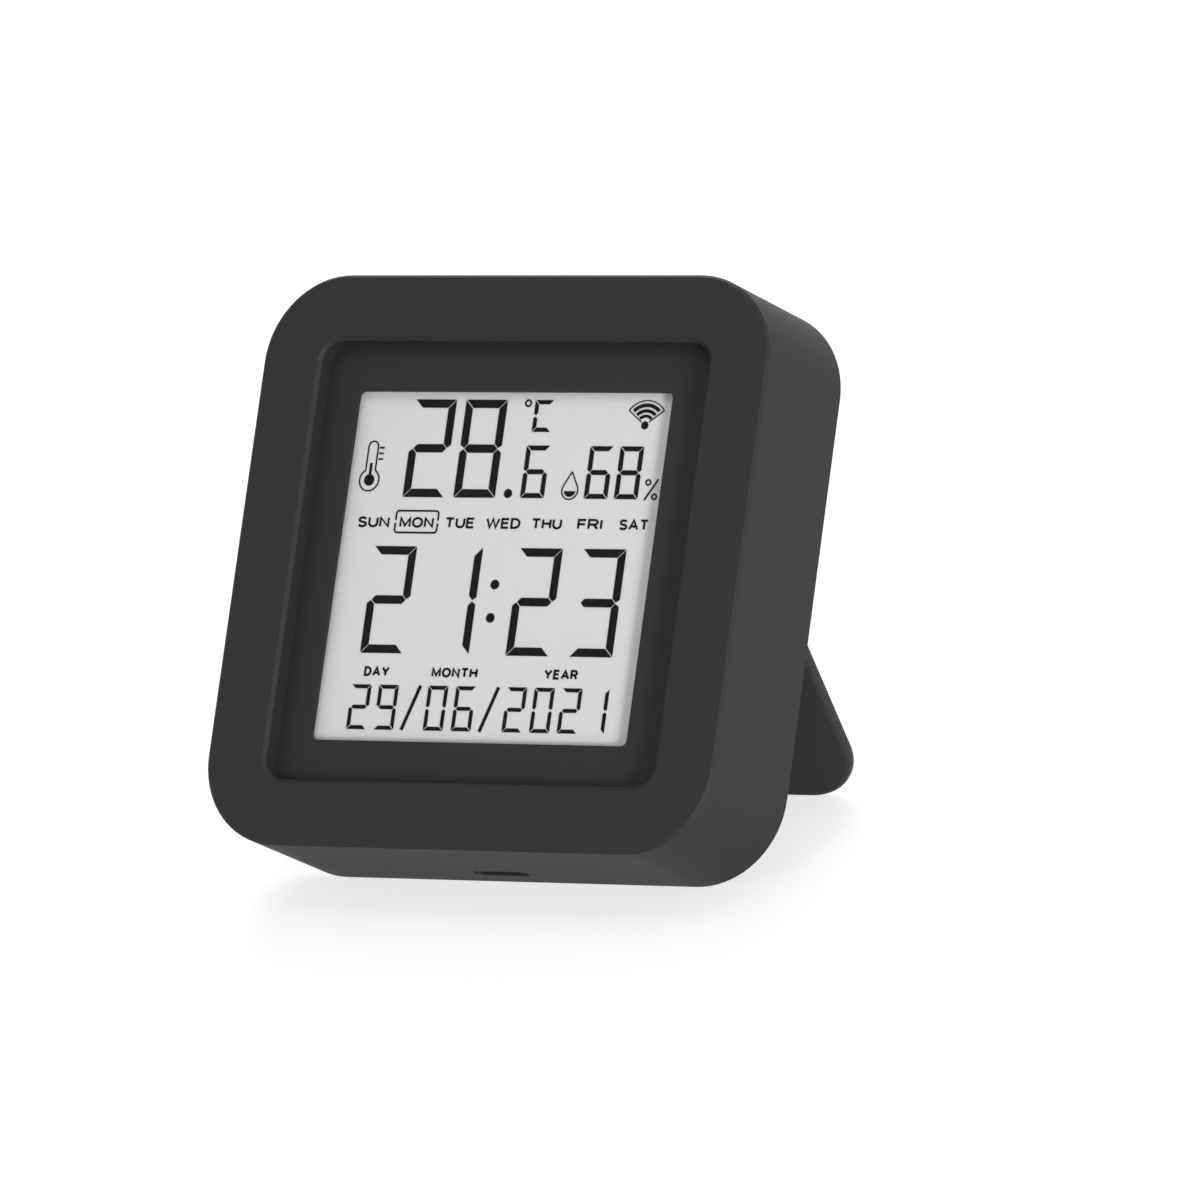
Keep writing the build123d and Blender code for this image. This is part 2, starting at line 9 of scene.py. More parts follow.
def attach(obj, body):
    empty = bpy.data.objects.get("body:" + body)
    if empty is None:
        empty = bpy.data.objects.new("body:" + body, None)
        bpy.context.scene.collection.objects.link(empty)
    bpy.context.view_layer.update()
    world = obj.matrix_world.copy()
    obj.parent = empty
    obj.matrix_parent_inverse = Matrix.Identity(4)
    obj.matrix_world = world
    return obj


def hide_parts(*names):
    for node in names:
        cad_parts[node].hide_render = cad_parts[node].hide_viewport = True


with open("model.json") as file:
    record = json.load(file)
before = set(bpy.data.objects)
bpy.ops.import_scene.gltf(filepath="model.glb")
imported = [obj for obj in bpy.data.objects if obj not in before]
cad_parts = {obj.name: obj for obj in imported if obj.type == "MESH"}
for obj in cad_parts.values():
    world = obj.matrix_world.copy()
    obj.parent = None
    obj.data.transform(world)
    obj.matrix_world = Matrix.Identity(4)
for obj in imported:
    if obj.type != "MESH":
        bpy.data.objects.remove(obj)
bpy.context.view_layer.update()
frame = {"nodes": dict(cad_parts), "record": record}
nodes = frame["nodes"]

MM = 0.001
SENSOR_MM = 36.0

# The photograph's camera, in millimetres on the upright casing
LENS_MM = 378.84
CAMERA_PLACE = (722.91, -1150.95, -241.62)
CAMERA_TARGET = (15.36, 0.0, 28.256)
CAMERA_ROLL = 7.738


def mount(name):
    return next(m for m in frame["record"]["mounts"] if m["name"] == name)


class Casing:
    """The upright casing's axes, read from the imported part: x right, y front to rear, z up."""

    rear = mount("rear_face")
    bottom = mount("bottom_face")
    across = Vector((1, 0, 0))
    inward = Vector(rear["axis"])
    upward = -Vector(bottom["axis"])
    half_depth = (Vector(rear["pos_m"]) - Vector(bottom["pos_m"])).dot(inward)
    origin = Vector(bottom["pos_m"]) - inward * half_depth


def on_casing(x, y, z):
    """A point of the upright casing, given in millimetres, in the frame's metres."""
    c = Casing
    return c.origin + (c.across * x + c.inward * y + c.upward * z) * MM


def node_span(name, axis):
    """Lowest and highest place of a node along one of the casing's axes, in millimetres."""
    places = [(v.co - Casing.origin).dot(axis) / MM for v in nodes[name].data.vertices]
    return min(places), max(places)


VIEW_MIDDLE = sum(node_span("front_housing", Casing.upward)) / 2


# Materials

SLOW_PER_METRE = 55.0
GLOSS_DRIFT = 0.06
METAL_COLOR_DRIFT = 0.08
METAL_GLOSS_DRIFT = 0.08
METAL_BUMP = 0.2
METAL_RELIEF_SHARE = 1 / 4
LINE_STRETCH_SHARE = 0.05


def new_material(name):
    material = bpy.data.materials.new(name)
    material.use_nodes = True
    tree = material.node_tree
    return material, tree, tree.nodes["Principled BSDF"]


def noise(tree, scale, detail=3.0, roughness=0.55):
    """Noise texture fixed to the object, its scale in features per metre."""
    coordinates = tree.nodes.new("ShaderNodeTexCoord")
    texture = tree.nodes.new("ShaderNodeTexNoise")
    texture.inputs["Scale"].default_value = scale
    texture.inputs["Detail"].default_value = detail
    texture.inputs["Roughness"].default_value = roughness
    tree.links.new(coordinates.outputs["Object"], texture.inputs["Vector"])
    return texture.outputs["Fac"]


def spread(tree, source, low, high):
    """Map a 0 to 1 value on to a range."""
    ramp = tree.nodes.new("ShaderNodeMapRange")
    ramp.inputs["To Min"].default_value = low
    ramp.inputs["To Max"].default_value = high
    tree.links.new(source, ramp.inputs["Value"])
    return ramp.outputs["Result"]


def vary_color(tree, shader, color, amount, source):
    """Base colour that drifts a little lighter and darker."""
    mix = tree.nodes.new("ShaderNodeMix")
    mix.data_type = "RGBA"
    mix.inputs["A"].default_value = [c * (1 - amount) for c in color] + [1]
    mix.inputs["B"].default_value = [min(c * (1 + amount), 1) for c in color] + [1]
    tree.links.new(source, mix.inputs["Factor"])
    tree.links.new(mix.outputs["Result"], shader.inputs["Base Color"])


def add_bump(tree, shader, source, strength, distance):
    bump = tree.nodes.new("ShaderNodeBump")
    bump.inputs["Strength"].default_value = strength
    bump.inputs["Distance"].default_value = distance
    tree.links.new(source, bump.inputs["Height"])
    tree.links.new(bump.outputs["Normal"], shader.inputs["Normal"])


def grained(name, color, roughness, grain_mm, relief_mm, bump=0.5, drift=0.05, metallic=0.0, specular=0.5):
    """Surface with a fine grain, a slow colour drift and uneven gloss."""
    material, tree, shader = new_material(name)
    grain = noise(tree, 1 / (grain_mm * MM))
    slow = noise(tree, SLOW_PER_METRE, detail=2.0)
    vary_color(tree, shader, color, drift, slow)
    gloss = spread(tree, grain, roughness - GLOSS_DRIFT, roughness + GLOSS_DRIFT)
    tree.links.new(gloss, shader.inputs["Roughness"])
    add_bump(tree, shader, grain, bump, relief_mm * MM)
    shader.inputs["Metallic"].default_value = metallic
    shader.inputs["Specular IOR Level"].default_value = specular
    return material


def brushed(name, color, roughness, line_mm):
    """Metal with fine lines along the casing's width."""
    material, tree, shader = new_material(name)
    coordinates = tree.nodes.new("ShaderNodeTexCoord")
    stretch = tree.nodes.new("ShaderNodeMapping")
    stretch.inputs["Scale"].default_value = (LINE_STRETCH_SHARE, 1, 1)
    texture = tree.nodes.new("ShaderNodeTexNoise")
    texture.inputs["Scale"].default_value = 1 / (line_mm * MM)
    tree.links.new(coordinates.outputs["Object"], stretch.inputs["Vector"])
    tree.links.new(stretch.outputs["Vector"], texture.inputs["Vector"])
    lines = texture.outputs["Fac"]
    vary_color(tree, shader, color, METAL_COLOR_DRIFT, lines)
    gloss = spread(tree, lines, roughness - METAL_GLOSS_DRIFT, roughness + METAL_GLOSS_DRIFT)
    tree.links.new(gloss, shader.inputs["Roughness"])
    add_bump(tree, shader, lines, METAL_BUMP, line_mm * MM * METAL_RELIEF_SHARE)
    shader.inputs["Metallic"].default_value = 1.0
    return material


def clear_sheet(name, color, drift, clearest, dullest, alpha):
    """Clear plastic that lets the display show and carries a faint gloss."""
    material, tree, shader = new_material(name)
    smear = noise(tree, SLOW_PER_METRE)
    vary_color(tree, shader, color, drift, smear)
    tree.links.new(spread(tree, smear, clearest, dullest), shader.inputs["Roughness"])
    shader.inputs["Alpha"].default_value = alpha
    return material


GRAINED_LOOKS = {
    "casing_plastic": dict(color=(0.023, 0.023, 0.023), roughness=0.58,
                           grain_mm=0.09, relief_mm=0.012, specular=0.16),
    # The casing's plastic painted lighter: painted light on the kickstand, which the lamps leave too dark
    "stand_plastic_painted_light": dict(color=(0.031, 0.031, 0.031), roughness=0.58,
                          grain_mm=0.09, relief_mm=0.012, specular=0.16),
    "button_plastic": dict(color=(0.026, 0.026, 0.027), roughness=0.42,
                           grain_mm=0.06, relief_mm=0.006, specular=0.4),
    "display_film": dict(color=(0.80, 0.80, 0.775), roughness=0.62,
                         grain_mm=0.06, relief_mm=0.004, bump=0.25,
                         drift=0.015, specular=0.3),
    "display_ink": dict(color=(0.004, 0.004, 0.004), roughness=0.7,
                        grain_mm=0.08, relief_mm=0.002, bump=0.2,
                        drift=0.2, specular=0.05),
    "display_glass": dict(color=(0.55, 0.62, 0.6), roughness=0.12,
                          grain_mm=0.5, relief_mm=0.002, bump=0.1),
    "display_ground": dict(color=(0.62, 0.63, 0.6), roughness=0.5,
                           grain_mm=0.05, relief_mm=0.003, bump=0.3),
    "elastomer": dict(color=(0.45, 0.33, 0.3), roughness=0.7, grain_mm=0.2, relief_mm=0.02),
    "white_plastic": dict(color=(0.72, 0.72, 0.7), roughness=0.5, grain_mm=0.12, relief_mm=0.01),
    "board_laminate": dict(color=(0.015, 0.12, 0.045), roughness=0.35,
                           grain_mm=0.35, relief_mm=0.02, drift=0.25),
    "module_laminate": dict(color=(0.012, 0.012, 0.016), roughness=0.35,
                            grain_mm=0.3, relief_mm=0.02, drift=0.25),
    "chip_resin": dict(color=(0.022, 0.022, 0.024), roughness=0.6, grain_mm=0.12, relief_mm=0.015),
    "capacitor_ceramic": dict(color=(0.42, 0.28, 0.16), roughness=0.4,
                              grain_mm=0.15, relief_mm=0.01, drift=0.12),
    "inner_black_plastic": dict(color=(0.018, 0.018, 0.018), roughness=0.5,
                                grain_mm=0.12, relief_mm=0.01),
    "foam": dict(color=(0.06, 0.06, 0.06), roughness=0.85, grain_mm=0.3, relief_mm=0.08, bump=0.9),
    "cell_foil": dict(color=(0.6, 0.61, 0.63), roughness=0.35,
                      grain_mm=0.8, relief_mm=0.05, metallic=0.9),
}

BRUSHED_LOOKS = {
    "plated_metal": dict(color=(0.62, 0.61, 0.58), roughness=0.3, line_mm=0.12),
    "screw_steel": dict(color=(0.22, 0.22, 0.23), roughness=0.35, line_mm=0.08),
    "pin_steel": dict(color=(0.55, 0.55, 0.55), roughness=0.28, line_mm=0.08),
}

WINDOW_LOOK = dict(color=(0.05, 0.05, 0.052), drift=0.2, clearest=0.06, dullest=0.12, alpha=0.05)

MATERIALS = {name: grained(name, **look) for name, look in GRAINED_LOOKS.items()}
MATERIALS.update({name: brushed(name, **look) for name, look in BRUSHED_LOOKS.items()})
MATERIALS["window_plastic"] = clear_sheet("window_plastic", **WINDOW_LOOK)


def dress_nodes():
    for part in frame["record"]["subparts"]:
        slots = nodes[part["node"]].data.materials
        slots.clear()
        slots.append(MATERIALS[part["material_slot"]])
    # The kickstand takes the lighter copy of the casing plastic, as painted light on it
    nodes["kickstand"].data.materials[0] = MATERIALS["stand_plastic_painted_light"]


# Display figures, drawn in millimetres from the middle of the display's view

VIEW_SHIFT_X = -0.6
VIEW_SHIFT_Z = -0.1
INK_THICKNESS = 0.04
INK_LIFT = 0.02
SEGMENT_GAP = 0.08
SEGMENT_SHOULDER_SHARE = 0.7
SAME_PLACE = 1e-6
SHORTEST_COSINE = 0.05
MITRE_LIMIT = 1.7
LETTER_STROKE = 0.25
LETTER_SPACE_SHARE = 0.13
FULL_TURN = 360

# Digit name to the segments that are lit: top, right and left pairs, bottom and middle
SEGMENTS = {
    "0": "abcdef",
    "1": "bc",
    "2": "abged",
    "3": "abgcd",
    "6": "afgedc",
    "8": "abcdefg",
    "9": "abcdfg",
    "C": "afed",
}


def segment_outlines(x, z, wide, high, stroke):
    """The seven segments of a digit as outlines, keyed by their usual letters."""
    left, right, low, top = x, x + wide, z, z + high
    mid = (low + top) / 2
    gap, half = SEGMENT_GAP, stroke / 2

    def upright(outer, inner, end, sign):
        """A segment beside an edge, mitred at its end and pointed at the middle."""
        centre = (outer + inner) / 2
        return [
            (outer, end - sign * gap),
            (inner, end - sign * (gap + stroke)),
            (inner, mid + sign * (half + gap)),
            (centre, mid + sign * gap),
            (outer, mid + sign * (gap + half * SEGMENT_SHOULDER_SHARE)),
        ]

    def level(edge, sign):
        """The segment along the top or the bottom, mitred at both ends."""
        inner = edge + sign * stroke
        return [
            (left + gap, edge),
            (right - gap, edge),
            (right - gap - stroke, inner),
            (left + gap + stroke, inner),
        ]

    return {
        "a": level(top, -1),
        "d": level(low, 1),
        "g": [
            (left + half + gap, mid),
            (left + stroke + gap, mid + half),
            (right - stroke - gap, mid + half),
            (right - half - gap, mid),
            (right - stroke - gap, mid - half),
            (left + stroke + gap, mid - half),
        ],
        "b": upright(right, right - stroke, top, 1),
        "c": upright(right, right - stroke, low, -1),
        "f": upright(left, left + stroke, top, 1),
        "e": upright(left, left + stroke, low, -1),
    }


def digit(name, x, z, wide, high, stroke):
    outlines = segment_outlines(x, z, wide, high, stroke)
    return [outlines[letter] for letter in SEGMENTS[name]]


def bow(x, z, wide, high, start, end, steps=12):
    """Points on an oval arc, its angles in degrees from the x axis."""
    turns = [math.radians(start + (end - start) * i / steps) for i in range(steps + 1)]
    return [(x + wide * math.cos(t), z + high * math.sin(t)) for t in turns]


def arc(x, z, radius, start, end, steps=20):
    return bow(x, z, radius, radius, start, end, steps)


def dot(x, z, radius, sides=28):
    return arc(x, z, radius, 0, FULL_TURN, sides)[:-1]


def band(inner, outer):
    """Strip between two runs of points of the same length, as quadrilaterals."""
    return [[a, b, d, c] for a, b, c, d in zip(inner, inner[1:], outer, outer[1:])]


def stroke_line(points, thickness):
    """Strip of even thickness along a run of points, mitred where it turns."""
    run = [Vector(p) for p in points]
    closed = (run[0] - run[-1]).length < SAME_PLACE
    ways = [(b - a).normalized() for a, b in zip(run, run[1:])]
    sides = [Vector((-w.y, w.x)) for w in ways]
    before = [sides[-1] if closed else sides[0]] + sides
    after = sides + [sides[0] if closed else sides[-1]]
    inner, outer = [], []
    for place, a, b in zip(run, before, after):
        middle = (a + b).normalized()
        reach = thickness / 2 * min(1 / max(middle.dot(b), SHORTEST_COSINE), MITRE_LIMIT)
        inner.append(tuple(place - middle * reach))
        outer.append(tuple(place + middle * reach))
    return band(inner, outer)


def arc_band(x, z, radius, thickness, start, end, steps=20):
    half = thickness / 2
    inner = arc(x, z, radius - half, start, end, steps)
    outer = arc(x, z, radius + half, start, end, steps)
    return band(inner, outer)


def ring(x, z, radius, thickness, steps=32):
    return arc_band(x, z, radius, thickness, 0, FULL_TURN, steps)


def ink_base():
    """Depth of the film that the figures lie on, in millimetres."""
    return node_span("lcd_front_polariser", Casing.inward)[0]


def on_view(x, z, depth):
    return on_casing(x + VIEW_SHIFT_X, depth, z + VIEW_MIDDLE + VIEW_SHIFT_Z)


def prisms(name, outlines, place, near, far):
    """Object made of straight prisms between two depths, one on each flat outline."""
    mesh = bmesh.new()
    for outline in outlines:
        low = [mesh.verts.new(place(x, z, near)) for x, z in outline]
        high = [mesh.verts.new(place(x, z, far)) for x, z in outline]
        mesh.faces.new(low)
        mesh.faces.new(high)
        for i in range(len(outline)):
            j = (i + 1) % len(outline)
            mesh.faces.new((low[i], low[j], high[j], high[i]))
    bmesh.ops.recalc_face_normals(mesh, faces=mesh.faces)
    data = bpy.data.meshes.new(name)
    mesh.to_mesh(data)
    mesh.free()
    piece = bpy.data.objects.new(name, data)
    bpy.context.scene.collection.objects.link(piece)
    return piece


def ink_piece(name, outlines):
    """Thin raised figures on the display's film, from flat outlines."""
    back = ink_base() - INK_LIFT
    piece = prisms(name, outlines, on_view, back - INK_THICKNESS, back)
    piece.data.materials.append(MATERIALS["display_ink"])
    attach(piece, "casing")


# Plain capitals: width as a share of the cap height, then strokes in a unit square
LETTERS = {
    "A": (0.82, [[(0, 0), (0.5, 1), (1, 0)], [(0.2, 0.32), (0.8, 0.32)]]),
    "D": (0.72, [[(0, 0), (0, 1), (0.4, 1)] + bow(0.4, 0.5, 0.6, 0.5, 80, -80) + [(0.4, 0), (0, 0)]]),
    "E": (0.6, [[(1, 0), (0, 0), (0, 1), (1, 1)], [(0, 0.53), (0.9, 0.53)]]),
    "F": (0.56, [[(0, 0), (0, 1), (1, 1)], [(0, 0.5), (0.88, 0.5)]]),
    "H": (0.7, [[(0, 0), (0, 1)], [(1, 0), (1, 1)], [(0, 0.53), (1, 0.53)]]),
    "I": (0.06, [[(0.5, 0), (0.5, 1)]]),
    "M": (0.86, [[(0, 0), (0, 1), (0.5, 0.12), (1, 1), (1, 0)]]),
    "N": (0.7, [[(0, 0), (0, 1), (1, 0), (1, 1)]]),
    "O": (0.84, [bow(0.5, 0.5, 0.5, 0.5, 0, 360, 24)]),
    "R": (0.68, [
        [(0, 0), (0, 1), (0.6, 1)] + bow(0.62, 0.74, 0.36, 0.26, 80, -80) + [(0.6, 0.48), (0, 0.48)],
        [(0.55, 0.48), (1, 0)],
    ]),
    "S": (0.64, [bow(0.5, 0.75, 0.45, 0.25, 22, 262, 14) + bow(0.5, 0.25, 0.5, 0.25, 82, -158, 14)]),
    "T": (0.7, [[(0, 1), (1, 1)], [(0.5, 0), (0.5, 1)]]),
    "U": (0.7, [[(0, 1)] + bow(0.5, 0.38, 0.5, 0.38, 180, 360, 14) + [(1, 1)]]),
    "W": (1.1, [[(0, 1), (0.25, 0), (0.5, 1), (0.75, 0), (1, 1)]]),
    "Y": (0.8, [[(0, 1), (0.5, 0.45), (1, 1)], [(0.5, 0), (0.5, 0.45)]]),
}


def word(name, text, left, right, base, cap_height):
    """A word in plain capitals, fitted between two places and to a cap height."""
    inner_high = cap_height - LETTER_STROKE
    space = LETTER_STROKE + LETTER_SPACE_SHARE * cap_height
    room = right - left - LETTER_STROKE - space * (len(text) - 1)
    scale = room / sum(LETTERS[letter][0] for letter in text)
    widths = [LETTERS[letter][0] * scale for letter in text]
    outlines = []
    x, z = left + LETTER_STROKE / 2, base + LETTER_STROKE / 2
    for letter, wide in zip(text, widths):
        for run in LETTERS[letter][1]:
            points = [(x + px * wide, z + pz * inner_high) for px, pz in run]
            outlines += stroke_line(points, LETTER_STROKE)
        x += wide + space
    ink_piece(name, outlines)


# Each size of figure, then the left edge and the foot of the figures that have it

TEMPERATURE_DIGIT = dict(wide=5.35, high=11.15, stroke=0.95)
TEMPERATURE_PLACES = (("2", -13.4), ("8", -6.8))
UPPER_FOOT = 8.05
DECIMAL_DOT = dict(x=0.19, z=8.56, radius=0.52)
DECIMAL_DIGIT = dict(x=1.8, z=8.07, wide=3.05, high=5.96, stroke=0.56)
DEGREE_RING = dict(x=1.25, z=18.84, radius=0.35, thickness=0.2)
UNIT_LETTER = dict(x=2.15, z=15.58, wide=2.4, high=3.62, stroke=0.48)

HUMIDITY_DIGIT = dict(wide=3.0, high=5.96, stroke=0.56)
HUMIDITY_PLACES = (("6", 9.98), ("8", 13.84))
PERCENT_RINGS = ((17.95, 9.97), (18.93, 8.36))
PERCENT_RING_SIZE = dict(radius=0.29, thickness=0.19)
PERCENT_SLASH = ((17.7, 7.95), (19.2, 10.35))
PERCENT_STROKE = 0.2

CLOCK_DIGIT = dict(wide=5.5, high=12.15, stroke=0.95)
HOUR_PLACES = (("2", -16.1), ("1", -7.55))
HOUR_FOOT = -9.72
MINUTE_PLACES = (("2", 2.72), ("3", 10.85))
MINUTE_FOOT = -9.76
COLON_X = 0.11
COLON_HEIGHTS = (-1.77, -5.54)
COLON_RADIUS = 0.55

DATE_DIGIT = dict(wide=2.55, high=5.07, stroke=0.44)
DATE_PLACES = (("2", -16.55), ("9", -13.0), ("0", -6.6), ("6", -3.0), ("2", 3.55), ("0", 7.08),
               ("2", 10.62), ("1", 14.05))
DATE_FOOT = -18.38
DATE_SLASHES = (((-9.4, -18.37), (-7.65, -13.33)), ((0.68, -18.4), (2.42, -13.34)))
DATE_SLASH_STROKE = 0.4


def digits(places, z, size):
    outlines = []
    for name, x in places:
        outlines += digit(name, x, z, **size)
    return outlines


def temperature_figures():
    outlines = digits(TEMPERATURE_PLACES, UPPER_FOOT, TEMPERATURE_DIGIT)
    outlines += [dot(**DECIMAL_DOT)] + digit("6", **DECIMAL_DIGIT)
    outlines += ring(**DEGREE_RING) + digit("C", **UNIT_LETTER)
    ink_piece("temperature_figures", outlines)


def humidity_figures():
    outlines = digits(HUMIDITY_PLACES, UPPER_FOOT, HUMIDITY_DIGIT)
    for x, z in PERCENT_RINGS:
        outlines += ring(x, z, **PERCENT_RING_SIZE)
    outlines += stroke_line(PERCENT_SLASH, PERCENT_STROKE)
    ink_piece("humidity_figures", outlines)


def clock_figures():
    outlines = digits(HOUR_PLACES, HOUR_FOOT, CLOCK_DIGIT)
    outlines += [dot(COLON_X, z, COLON_RADIUS) for z in COLON_HEIGHTS]
    outlines += digits(MINUTE_PLACES, MINUTE_FOOT, CLOCK_DIGIT)
    ink_piece("clock_figures", outlines)


def date_figures():
    outlines = digits(DATE_PLACES, DATE_FOOT, DATE_DIGIT)
    for slash in DATE_SLASHES:
        outlines += stroke_line(slash, DATE_SLASH_STROKE)
    ink_piece("date_figures", outlines)


# Thermometer: an outlined bulb and tube, a filled bulb and column, and three ticks

BULB = (-18.05, 9.95)
BULB_RADIUS = 1.25
BULB_STEPS = 36
TUBE_HALF_WIDTH = 0.62
TUBE_TOP = 13.75
TUBE_STEPS = 16
THERMOMETER_LINE = 0.17
FILLING_RADIUS = 0.66
COLUMN_TOP = 11.9
COLUMN_WIDTH = 0.32
TICK_HEIGHTS = (12.34, 12.99, 13.64)
TICK_START = 0.85
TICK_END = 1.42
TICK_THICKNESS = 0.2


def thermometer_icon():
    x, z = BULB
    line = THERMOMETER_LINE
    meet = math.degrees(math.asin(TUBE_HALF_WIDTH / BULB_RADIUS))
    outlines = arc_band(x, z, BULB_RADIUS, line, 90 + meet, 90 + FULL_TURN - meet, BULB_STEPS)
    shoulder = z + math.sqrt(BULB_RADIUS ** 2 - TUBE_HALF_WIDTH ** 2)
    for side in (-1, 1):
        edge = x + side * TUBE_HALF_WIDTH
        outlines += stroke_line([(edge, shoulder), (edge, TUBE_TOP)], line)
    outlines += arc_band(x, TUBE_TOP, TUBE_HALF_WIDTH, line, 0, 180, TUBE_STEPS)
    outlines += [dot(x, z, FILLING_RADIUS)]
    outlines += stroke_line([(x, z), (x, COLUMN_TOP)], COLUMN_WIDTH)
    for tick in TICK_HEIGHTS:
        outlines += stroke_line([(x + TICK_START, tick), (x + TICK_END, tick)], TICK_THICKNESS)
    ink_piece("thermometer_icon", outlines)


# Signal: a dot and three arcs inside a thin fan

FAN_FOOT = (16.52, 16.4)
FAN_HALF_ANGLE = 53
FAN_RADIUS = 2.8
FAN_START_RADIUS = 0.62
FAN_LINE = 0.13
SIGNAL_DOT_RADIUS = 0.46
SIGNAL_HALF_ANGLE = 45
SIGNAL_ARCS = ((1.05, 0.34), (1.65, 0.38), (2.28, 0.42))


def signal_icon():
    x, z = FAN_FOOT
    outlines = [dot(x, z, SIGNAL_DOT_RADIUS)]
    for radius, thickness in SIGNAL_ARCS:
        outlines += arc_band(x, z, radius, thickness, 90 - SIGNAL_HALF_ANGLE, 90 + SIGNAL_HALF_ANGLE)
    sides = (90 - FAN_HALF_ANGLE, 90 + FAN_HALF_ANGLE)
    outlines += arc_band(x, z, FAN_RADIUS, FAN_LINE, *sides)
    for angle in sides:
        turn = math.radians(angle)
        ends = [(x + reach * math.cos(turn), z + reach * math.sin(turn))
                for reach in (FAN_START_RADIUS, FAN_RADIUS)]
        outlines += stroke_line(ends, FAN_LINE)
    ink_piece("signal_icon", outlines)


# Droplet: a round foot drawn up to a tip, and a filled lower part

DROPLET = (8.07, 8.98)
DROPLET_RADIUS = 1.02
DROPLET_TIP = 11.1
DROPLET_LINE = 0.15
DROPLET_STEPS = 28
WATER_RADIUS_SHARE = 0.72
WATER_ANGLES = (187, 353)


def droplet_icon():
    x, z = DROPLET
    radius, line = DROPLET_RADIUS, DROPLET_LINE
    lean = math.degrees(math.asin(radius / (DROPLET_TIP - z)))
    outlines = arc_band(x, z, radius, line, 180 - lean, FULL_TURN + lean, DROPLET_STEPS)
    for angle in (lean, 180 - lean):
        turn = math.radians(angle)
        shoulder = (x + radius * math.cos(turn), z + radius * math.sin(turn))
        outlines += stroke_line([shoulder, (x, DROPLET_TIP)], line)
    outlines += [arc(x, z, radius * WATER_RADIUS_SHARE, *WATER_ANGLES)]
    ink_piece("droplet_icon", outlines)


WEEKDAYS = (("SUN", -18.75, -14.65), ("MON", -13.3, -8.9), ("TUE", -7.4, -3.6), ("WED", -2.1, 2.32),
            ("THU", 3.75, 7.63), ("FRI", 9.65, 12.86), ("SAT", 15.0, 18.71))
WEEKDAY_FOOT = 4.55
WEEKDAY_HEIGHT = 1.23
DATE_TITLES = (("DAY", -15.2, -11.95), ("MONTH", -6.45, -0.56), ("YEAR", 8.0, 12.3))
DATE_TITLE_FOOT = -12.36
DATE_TITLE_HEIGHT = 1.12


def weekday_words():
    for text, left, right in WEEKDAYS:
        word("weekday_" + text.lower(), text, left, right, WEEKDAY_FOOT, WEEKDAY_HEIGHT)


def date_words():
    for text, left, right in DATE_TITLES:
        word("date_" + text.lower(), text, left, right, DATE_TITLE_FOOT, DATE_TITLE_HEIGHT)


# Box round the day, open for a short stretch in the middle of each side

BOX_LEFT = -13.85
BOX_RIGHT = -8.38
BOX_LOW = 4.0
BOX_HIGH = 6.48
BOX_RADIUS = 0.35
BOX_LINE = 0.2
BOX_HALF_OPENING = 0.16
BOX_STEPS = 8


def weekday_box():
    radius, line = BOX_RADIUS, BOX_LINE
    middle = (BOX_LOW + BOX_HIGH) / 2
    outlines = []
    for x, side, outward in ((BOX_LEFT, 1, 180), (BOX_RIGHT, -1, 0)):
        inner = x + side * radius
        below = outward + side * 90
        outlines += arc_band(inner, BOX_HIGH - radius, radius, line, outward, 90, BOX_STEPS)
        outlines += arc_band(inner, BOX_LOW + radius, radius, line, outward, below, BOX_STEPS)
        outlines += stroke_line([(x, BOX_HIGH - radius), (x, middle + BOX_HALF_OPENING)], line)
        outlines += stroke_line([(x, BOX_LOW + radius), (x, middle - BOX_HALF_OPENING)], line)
    for z in (BOX_LOW, BOX_HIGH):
        outlines += stroke_line([(BOX_LEFT + radius, z), (BOX_RIGHT - radius, z)], line)
    ink_piece("weekday_box", outlines)


def display():
    temperature_figures()
    humidity_figures()
    clock_figures()
    date_figures()
    thermometer_icon()
    signal_icon()
    droplet_icon()
    weekday_words()
    weekday_box()
    date_words()


# Cross recesses in the screws that close the rear cover

CROSS_REACH = 0.8
CROSS_HALF_WIDTH = 0.19
CROSS_DEPTH = 0.5
SAME_DEPTH = 0.01


def cross(x, z):
    """Outline of a plus sign."""
    a, b = CROSS_REACH, CROSS_HALF_WIDTH
    quarter = [(a, -b), (a, b), (b, b)]
    turned = quarter + [(-pz, px) for px, pz in quarter]
    return [(x + px, z + pz) for px, pz in turned + [(-px, -pz) for px, pz in turned]]


def head_middles(heads, back):
    """Middle of each screw head, from the points of its rear face."""
    corners = {}
    for v in heads.data.vertices:
        place = v.co - Casing.origin
        x, y, z = (place.dot(axis) / MM for axis in (Casing.across, Casing.inward, Casing.upward))
        if back - y < SAME_DEPTH:
            corners.setdefault((x > 0, z > VIEW_MIDDLE), []).append((x, z))
    for points in corners.values():
        xs, zs = zip(*points)
        yield (min(xs) + max(xs)) / 2, (min(zs) + max(zs)) / 2


def recessed_screws():
    source = nodes["cover_screws"]
    back = node_span("cover_screws", Casing.inward)[1]
    outlines = [cross(x, z) for x, z in head_middles(source, back)]
    floor, above = back - CROSS_DEPTH, back + CROSS_DEPTH
    cutter = prisms("cross_cutter", outlines, lambda x, z, y: on_casing(x, y, z), floor, above)
    heads = bpy.data.objects.new("recessed_screws", source.data.copy())
    bpy.context.scene.collection.objects.link(heads)
    cut = heads.modifiers.new("cross", "BOOLEAN")
    cut.operation = "DIFFERENCE"
    cut.solver = "EXACT"
    cut.object = cutter
    bpy.context.view_layer.update()
    shape = heads.evaluated_get(bpy.context.evaluated_depsgraph_get())
    data = bpy.data.meshes.new_from_object(shape)
    heads.modifiers.clear()
    heads.data = data
    bpy.data.objects.remove(cutter)
    data.materials.clear()
    data.materials.append(MATERIALS["screw_steel"])
    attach(heads, "casing")
    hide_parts("cover_screws")


# Stage, light and camera

